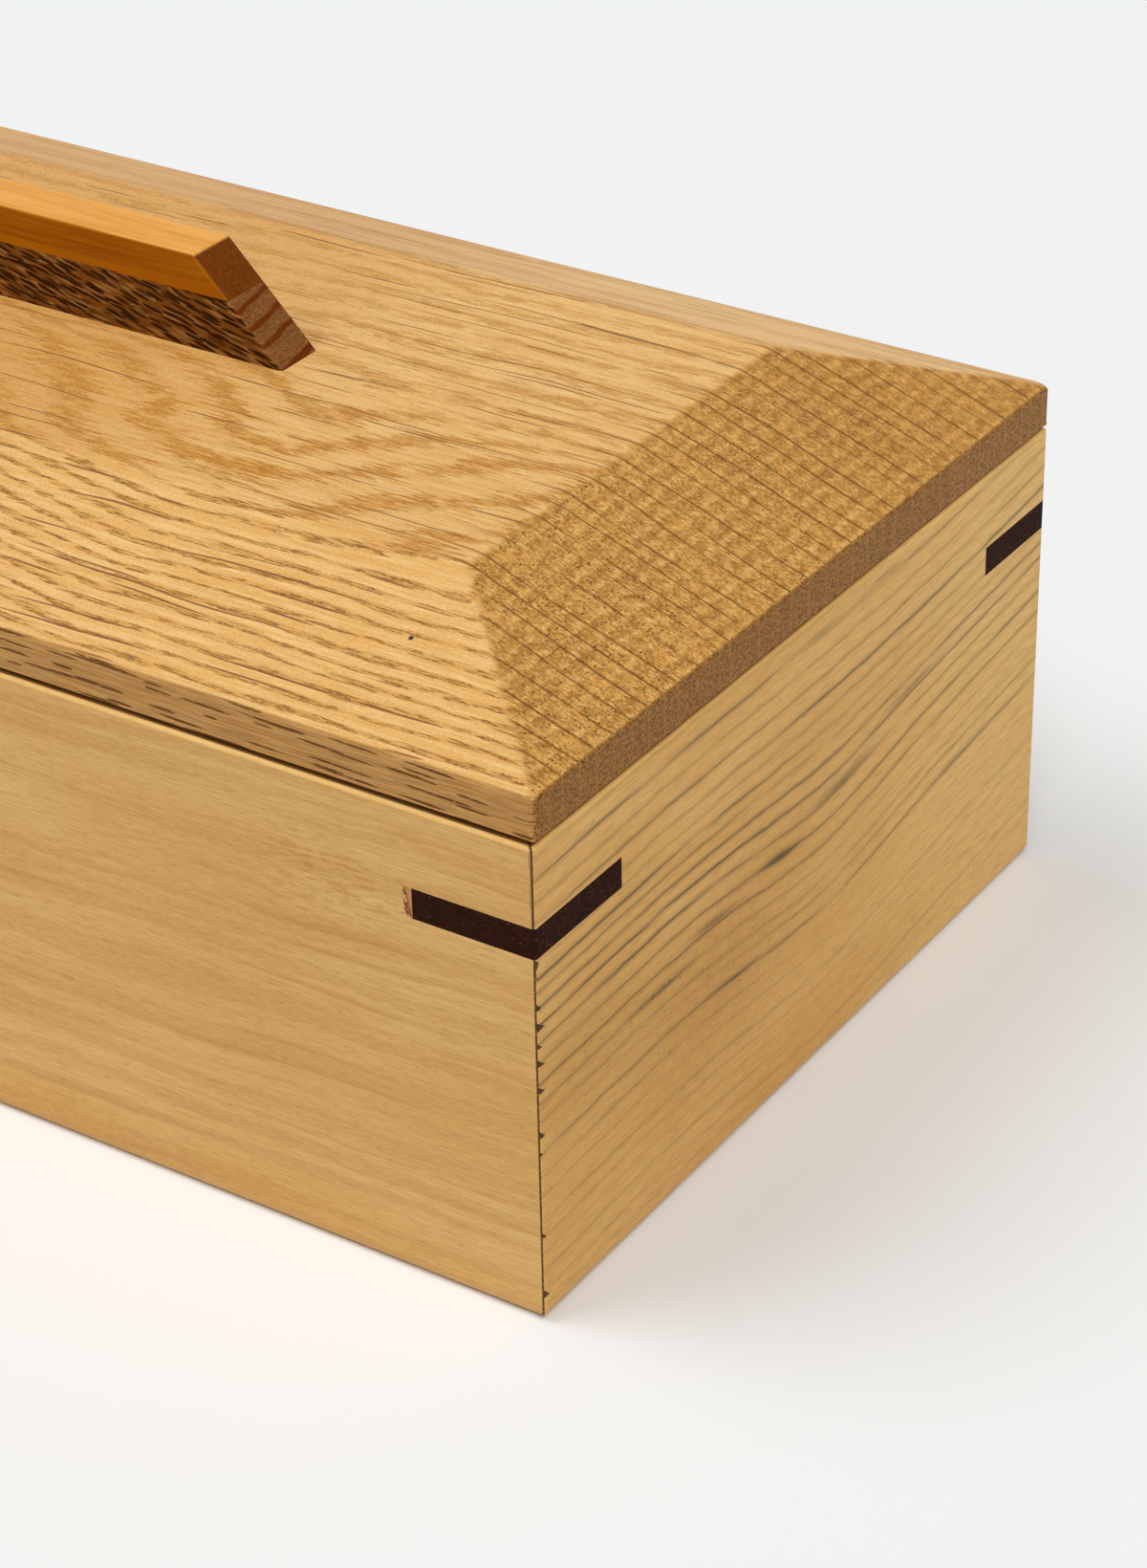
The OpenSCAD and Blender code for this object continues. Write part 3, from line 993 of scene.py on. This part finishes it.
def make_light(name, heading, height, across, level):
    """A far, wide soft light; heading turns from the right end towards the back, height and
    across are angles, and level is how bright it alone makes a white floor."""
    heading, height = math.radians(heading), math.radians(height)
    light = bpy.data.lights.new(name, "SUN")
    light.angle = math.radians(across)
    light.energy = level * math.pi / math.sin(height)
    lamp = bpy.data.objects.new(name, light)
    toward = Vector((
        math.cos(heading) * math.cos(height),
        math.sin(heading) * math.cos(height),
        math.sin(height),
    ))
    lamp.location = toward * LAMP_REACH
    lamp.rotation_mode = "QUATERNION"
    lamp.rotation_quaternion = (-toward).to_track_quat("-Z", "Y")
    bpy.context.scene.collection.objects.link(lamp)


def make_world(strength, seen):
    """Even light from all round; the camera, gloss and glass see a plain pale tone there."""
    world = bpy.data.worlds.new("studio")
    bpy.context.scene.world = world
    world.use_nodes = True
    tree = world.node_tree
    tree.nodes.clear()
    rays = tree.nodes.new("ShaderNodeLightPath")
    shades = []
    for colour, level in ((WHITE, strength), (SEEN_TONE, seen)):
        shade = tree.nodes.new("ShaderNodeBackground")
        shade.inputs["Color"].default_value = colour
        shade.inputs["Strength"].default_value = level
        shades.append(shade)
    shown = rays.outputs["Is Camera Ray"]
    for kind in ("Is Glossy Ray", "Is Transmission Ray"):
        either = tree.nodes.new("ShaderNodeMath")
        either.operation = "MAXIMUM"
        tree.links.new(shown, either.inputs[0])
        tree.links.new(rays.outputs[kind], either.inputs[1])
        shown = either.outputs[0]
    mixer = tree.nodes.new("ShaderNodeMixShader")
    tree.links.new(shown, mixer.inputs[0])
    tree.links.new(shades[0].outputs[0], mixer.inputs[1])
    tree.links.new(shades[1].outputs[0], mixer.inputs[2])
    output = tree.nodes.new("ShaderNodeOutputWorld")
    tree.links.new(mixer.outputs[0], output.inputs["Surface"])


# The photograph's camera: where it stands, which way it looks, its roll and its lens
CAMERA_PLACE = Vector((0.4081, -0.4541, 0.3656))
HEADING = math.radians(33.54)
DOWNWARD = math.radians(30.96)
ROLL = math.radians(-1.17)
FOCAL_PIXELS = 4221.5
IMAGE_LONG_SIDE = 1640
SENSOR = 36.0


def make_camera():
    data = bpy.data.cameras.new("camera")
    data.sensor_width = SENSOR
    data.lens = SENSOR * FOCAL_PIXELS / IMAGE_LONG_SIDE
    data.clip_start = 0.01
    camera = bpy.data.objects.new("camera", data)
    bpy.context.scene.collection.objects.link(camera)
    forward = Vector((
        -math.sin(HEADING) * math.cos(DOWNWARD),
        math.cos(HEADING) * math.cos(DOWNWARD),
        -math.sin(DOWNWARD),
    ))
    camera.rotation_mode = "QUATERNION"
    level = forward.to_track_quat("-Z", "Y")
    camera.rotation_quaternion = level @ Matrix.Rotation(ROLL, 3, "Z").to_quaternion()
    camera.location = CAMERA_PLACE
    bpy.context.scene.camera = camera


make_floor()
make_world(WORLD_LEVEL, SEEN_LEVEL)
for lamp in LAMPS:
    make_light(*lamp)
make_camera()
bpy.context.scene.view_settings.view_transform = "Standard"
